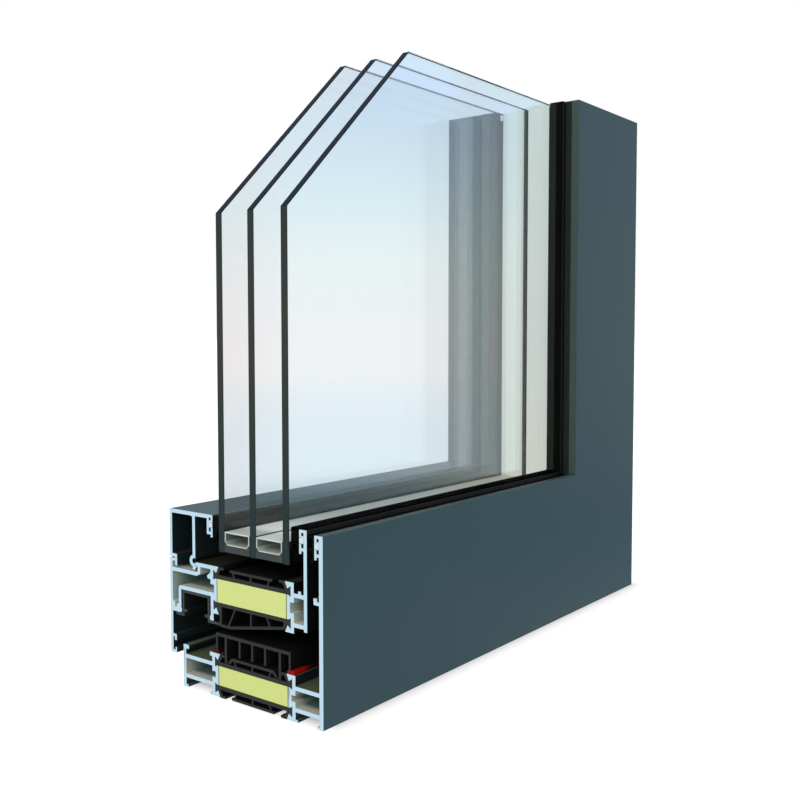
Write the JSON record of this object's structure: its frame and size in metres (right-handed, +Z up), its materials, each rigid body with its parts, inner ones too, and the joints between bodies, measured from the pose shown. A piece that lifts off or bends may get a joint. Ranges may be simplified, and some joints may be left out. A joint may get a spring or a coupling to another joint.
{
  "type": "aluminium window profile corner sample",
  "caption": "Cut corner sample of a thermally broken aluminium window: outer frame, sash with clipped bead, gaskets and triple glazing, with the section open at both ends.",
  "frame": {"origin": "middle of the whole sample's underside, which is where the frame rests", "axes": "+X along the bottom rail from its cut end to the corner, +Y from outdoors into the room, +Z up along the jamb"},
  "size_m": [0.3096, 0.097, 0.3027],
  "materials": {
    "coated_aluminium": "fine textured powder coat in blue grey, with bare milled aluminium on the cut ends",
    "dark_polyamide": "dull black-grey glass fibre polyamide",
    "pale_foam": "matt yellow-green rigid foam with fine cells",
    "red_rubber": "matt red foam rubber",
    "black_rubber": "satin black rubber",
    "dark_liner": "dull dark grey plastic",
    "grey_spacer": "satin grey warm edge spacer",
    "dark_sealant": "dull dark grey sealant",
    "clear_glass": "clear float glass with a green-grey cut edge"
  },
  "bodies": {
    "root": {"frame_outer_rail": "coated_aluminium", "frame_outer_jamb": "coated_aluminium", "frame_inner_rail": "coated_aluminium", "frame_inner_jamb": "coated_aluminium", "frame_break_upper_rail": "dark_polyamide", "frame_break_upper_jamb": "dark_polyamide", "frame_break_lower_rail": "dark_polyamide", "frame_break_lower_jamb": "dark_polyamide", "frame_foam_rail": "pale_foam", "frame_foam_jamb": "pale_foam", "frame_comb_rail": "dark_polyamide", "frame_comb_jamb": "dark_polyamide", "frame_seal_outer_rail": "red_rubber", "frame_seal_outer_jamb": "red_rubber", "frame_seal_inner_rail": "red_rubber", "frame_seal_inner_jamb": "red_rubber", "rebate_gasket_rail": "black_rubber", "rebate_gasket_jamb": "black_rubber", "sash_outer_rail": "coated_aluminium", "sash_outer_jamb": "coated_aluminium", "sash_inner_rail": "coated_aluminium", "sash_inner_jamb": "coated_aluminium", "sash_break_upper_rail": "dark_polyamide", "sash_break_upper_jamb": "dark_polyamide", "sash_break_lower_rail": "dark_polyamide", "sash_break_lower_jamb": "dark_polyamide", "sash_foam_rail": "pale_foam", "sash_foam_jamb": "pale_foam", "sash_liner_rail": "dark_liner", "sash_liner_jamb": "dark_liner", "bead_rail": "coated_aluminium", "bead_jamb": "coated_aluminium", "glazing_gasket_outer_rail": "black_rubber", "glazing_gasket_outer_jamb": "black_rubber", "glazing_gasket_inner_rail": "black_rubber", "glazing_gasket_inner_jamb": "black_rubber", "spacer_outer_rail": "grey_spacer", "spacer_outer_jamb": "grey_spacer", "spacer_inner_rail": "grey_spacer", "spacer_inner_jamb": "grey_spacer", "sealant_outer_rail": "dark_sealant", "sealant_outer_jamb": "dark_sealant", "sealant_inner_rail": "dark_sealant", "sealant_inner_jamb": "dark_sealant", "pane_outer": "clear_glass", "pane_middle": "clear_glass", "pane_inner": "clear_glass"}
  },
  "joints": []
}
